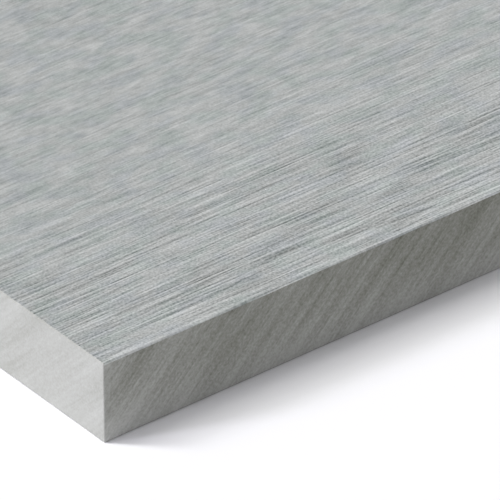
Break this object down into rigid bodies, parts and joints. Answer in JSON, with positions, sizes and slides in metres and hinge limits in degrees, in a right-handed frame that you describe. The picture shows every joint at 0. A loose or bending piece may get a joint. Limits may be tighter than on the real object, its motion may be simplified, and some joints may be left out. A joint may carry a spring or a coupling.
{
  "type": "fibre cement facade panel",
  "caption": "Flat through-coloured grey fibre cement facade panel with a linear sanded face and plain sawn edges, for rainscreen cladding.",
  "frame": {"origin": "centre of the panel's back face, which lies on the floor", "axes": "+X along the length of the panel and its sanding lines, +Y across its width, +Z out of the sanded face"},
  "size_m": [2.5, 1.25, 0.008],
  "materials": {
    "fibre_cement": "matte"
  },
  "bodies": {
    "root": {"fibre_cement_panel": "fibre_cement"}
  },
  "joints": []
}
